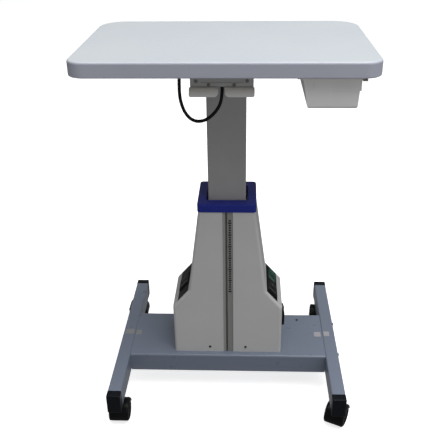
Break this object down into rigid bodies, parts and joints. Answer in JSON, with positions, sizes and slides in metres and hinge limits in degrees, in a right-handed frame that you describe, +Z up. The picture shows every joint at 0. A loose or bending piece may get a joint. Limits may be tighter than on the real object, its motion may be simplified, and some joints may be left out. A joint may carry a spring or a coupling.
{
  "type": "motorised instrument table",
  "caption": "Motorised height-adjustable instrument table for a slit lamp: rounded top on a square lifting column, tapered drive housing, side rocker switches, small drawer and caster base.",
  "frame": {"origin": "on the floor under the middle of the tabletop, which is within 3 mm of the centre of the bounding box", "axes": "+X to the right of someone facing the front, where the drawer is; +Y from the front to the back; +Z up"},
  "size_m": [0.6056, 0.505, 0.88],
  "materials": {
    "top_laminate": "soft satin, wipe-clean skin with a slightly bluish rolled edge",
    "board": "raw fibreboard, hidden",
    "grey_paint": "light grey satin powder coat",
    "head_casting": "as cast, hidden",
    "zinc_steel": "bright zinc plated",
    "dark_steel": "black oxide",
    "tray_plastic": "light grey moulded plastic",
    "cable_rubber": "black PVC jacket",
    "column_paint": "dark grey satin powder coat",
    "nylon": "natural nylon, hidden",
    "bronze": "machined bronze nut, hidden",
    "screw_steel": "rolled thread, greased",
    "gear_aluminium": "die cast, hidden",
    "motor_paint": "black painted can, hidden",
    "black_plastic": "fine-textured black moulded plastic",
    "board_green": "green circuit board, hidden",
    "transformer_core": "varnished laminations, hidden",
    "collar_blue": "blue moulded plastic",
    "housing_grey": "warm light grey moulded plastic",
    "rocker_black": "black rocker",
    "rocker_green": "translucent green lit rocker",
    "brass_pins": "nickelled brass contacts",
    "base_paint": "blue-grey satin powder coat",
    "cap_plastic": "black end caps",
    "caster_plastic": "black nylon",
    "wheel_plastic": "black soft tread"
  },
  "bodies": {
    "base": {"outer_column": "zinc_steel", "upper_glide_pads": "nylon", "gearbox_case": "gear_aluminium", "lift_motor": "motor_paint", "limit_switches": "black_plastic", "control_board": "board_green", "transformer": "transformer_core", "collar": "collar_blue", "housing_left": "housing_grey", "housing_right": "housing_grey", "pan_screws": "dark_steel", "left_switch_panel": "black_plastic", "left_switch_body": "black_plastic", "right_switch_panel": "black_plastic", "right_switch_body": "black_plastic", "power_switch_body": "black_plastic", "power_inlet": "black_plastic", "inlet_pins": "brass_pins", "base_channel": "base_paint", "left_beam": "base_paint", "right_beam": "base_paint", "beam_end_caps": "cap_plastic", "frame_bolts": "dark_steel", "caster_stems": "zinc_steel"},
    "lift": {"inner_column": "column_paint", "lower_glide_pads": "nylon", "lead_nut": "bronze", "column_head_plate": "grey_paint", "column_head_casting": "head_casting", "table_bracket": "grey_paint", "bracket_screws": "dark_steel", "underside_screws": "zinc_steel", "tabletop_core": "board", "tabletop_cover": "top_laminate", "drawer_rail_left": "grey_paint", "drawer_rail_right": "grey_paint", "instrument_cable": "cable_rubber", "cable_grommets": "cable_rubber"},
    "lead_screw": {"lead_screw": "screw_steel"},
    "drawer": {"drawer_tray": "tray_plastic"},
    "left_lift_rocker": {"left_lift_rocker": "rocker_black"},
    "right_lift_rocker": {"right_lift_rocker": "rocker_black"},
    "power_rocker": {"power_rocker": "rocker_green"},
    "fuse_drawer": {"fuse_drawer": "black_plastic"},
    "caster_front_left": {"caster_hood_front_left": "caster_plastic", "caster_axle_front_left": "zinc_steel"},
    "caster_front_right": {"caster_hood_front_right": "caster_plastic", "caster_axle_front_right": "zinc_steel"},
    "caster_back_left": {"caster_hood_back_left": "caster_plastic", "caster_axle_back_left": "zinc_steel"},
    "caster_back_right": {"caster_hood_back_right": "caster_plastic", "caster_axle_back_right": "zinc_steel"},
    "caster_wheel_front_left_a": {"caster_wheel_front_left_a": "wheel_plastic"},
    "caster_wheel_front_left_b": {"caster_wheel_front_left_b": "wheel_plastic"},
    "caster_wheel_front_right_a": {"caster_wheel_front_right_a": "wheel_plastic"},
    "caster_wheel_front_right_b": {"caster_wheel_front_right_b": "wheel_plastic"},
    "caster_wheel_back_left_a": {"caster_wheel_back_left_a": "wheel_plastic"},
    "caster_wheel_back_left_b": {"caster_wheel_back_left_b": "wheel_plastic"},
    "caster_wheel_back_right_a": {"caster_wheel_back_right_a": "wheel_plastic"},
    "caster_wheel_back_right_b": {"caster_wheel_back_right_b": "wheel_plastic"}
  },
  "joints": [
    {"name": "lift_slide", "type": "slide", "parent": "base", "child": "lift", "axis": [0, 0, 1], "range_m": [-0.22, 0]},
    {"name": "screw_turn", "type": "hinge", "parent": "base", "child": "lead_screw", "pos_m": [0, -0.005, 0.2], "axis": [0, 0, 1], "range_deg": [0, 9905]},
    {"name": "drawer_slide", "type": "slide", "parent": "lift", "child": "drawer", "axis": [0, -1, 0], "range_m": [0, 0.15]},
    {"name": "left_lift_rocker_tilt", "type": "hinge", "parent": "base", "child": "left_lift_rocker", "pos_m": [-0.10744, -0.004, 0.27109], "axis": [0.6439, 0, 0.7651], "range_deg": [-8, 8], "stiffness_Nm_per_rad": 0.2},
    {"name": "right_lift_rocker_tilt", "type": "hinge", "parent": "base", "child": "right_lift_rocker", "pos_m": [0.10744, -0.032, 0.27109], "axis": [0.6439, 0, -0.7651], "range_deg": [-8, 8], "stiffness_Nm_per_rad": 0.2},
    {"name": "power_rocker_tilt", "type": "hinge", "parent": "base", "child": "power_rocker", "pos_m": [0.10744, 0.024, 0.27109], "axis": [0.6439, 0, -0.7651], "range_deg": [-14, 0]},
    {"name": "fuse_drawer_slide", "type": "slide", "parent": "base", "child": "fuse_drawer", "axis": [1, 0, 0], "range_m": [0, 0.016]},
    {"name": "caster_swivel_front_left", "type": "hinge", "parent": "base", "child": "caster_front_left", "pos_m": [-0.261, -0.22, 0.05], "axis": [0, 0, 1], "continuous": true},
    {"name": "caster_swivel_front_right", "type": "hinge", "parent": "base", "child": "caster_front_right", "pos_m": [0.261, -0.22, 0.05], "axis": [0, 0, 1], "continuous": true},
    {"name": "caster_swivel_back_left", "type": "hinge", "parent": "base", "child": "caster_back_left", "pos_m": [-0.261, 0.22, 0.05], "axis": [0, 0, 1], "continuous": true},
    {"name": "caster_swivel_back_right", "type": "hinge", "parent": "base", "child": "caster_back_right", "pos_m": [0.261, 0.22, 0.05], "axis": [0, 0, 1], "continuous": true},
    {"name": "caster_roll_front_left_a", "type": "hinge", "parent": "caster_front_left", "child": "caster_wheel_front_left_a", "pos_m": [-0.261, -0.203, 0.027], "axis": [1, 0, 0], "continuous": true},
    {"name": "caster_roll_front_left_b", "type": "hinge", "parent": "caster_front_left", "child": "caster_wheel_front_left_b", "pos_m": [-0.261, -0.203, 0.027], "axis": [1, 0, 0], "continuous": true},
    {"name": "caster_roll_front_right_a", "type": "hinge", "parent": "caster_front_right", "child": "caster_wheel_front_right_a", "pos_m": [0.26845, -0.20472, 0.027], "axis": [0.8988, -0.4384, 0], "continuous": true},
    {"name": "caster_roll_front_right_b", "type": "hinge", "parent": "caster_front_right", "child": "caster_wheel_front_right_b", "pos_m": [0.26845, -0.20472, 0.027], "axis": [0.8988, -0.4384, 0], "continuous": true},
    {"name": "caster_roll_back_left_a", "type": "hinge", "parent": "caster_back_left", "child": "caster_wheel_back_left_a", "pos_m": [-0.278, 0.22, 0.027], "axis": [0, 1, 0], "continuous": true},
    {"name": "caster_roll_back_left_b", "type": "hinge", "parent": "caster_back_left", "child": "caster_wheel_back_left_b", "pos_m": [-0.278, 0.22, 0.027], "axis": [0, 1, 0], "continuous": true},
    {"name": "caster_roll_back_right_a", "type": "hinge", "parent": "caster_back_right", "child": "caster_wheel_back_right_a", "pos_m": [0.25863, 0.20317, 0.027], "axis": [-0.9903, 0.1392, 0], "continuous": true},
    {"name": "caster_roll_back_right_b", "type": "hinge", "parent": "caster_back_right", "child": "caster_wheel_back_right_b", "pos_m": [0.25863, 0.20317, 0.027], "axis": [-0.9903, 0.1392, 0], "continuous": true}
  ],
  "couplings": [
    {"joint": "screw_turn", "follows": "lift_slide", "rad_per_m": -785.4}
  ]
}
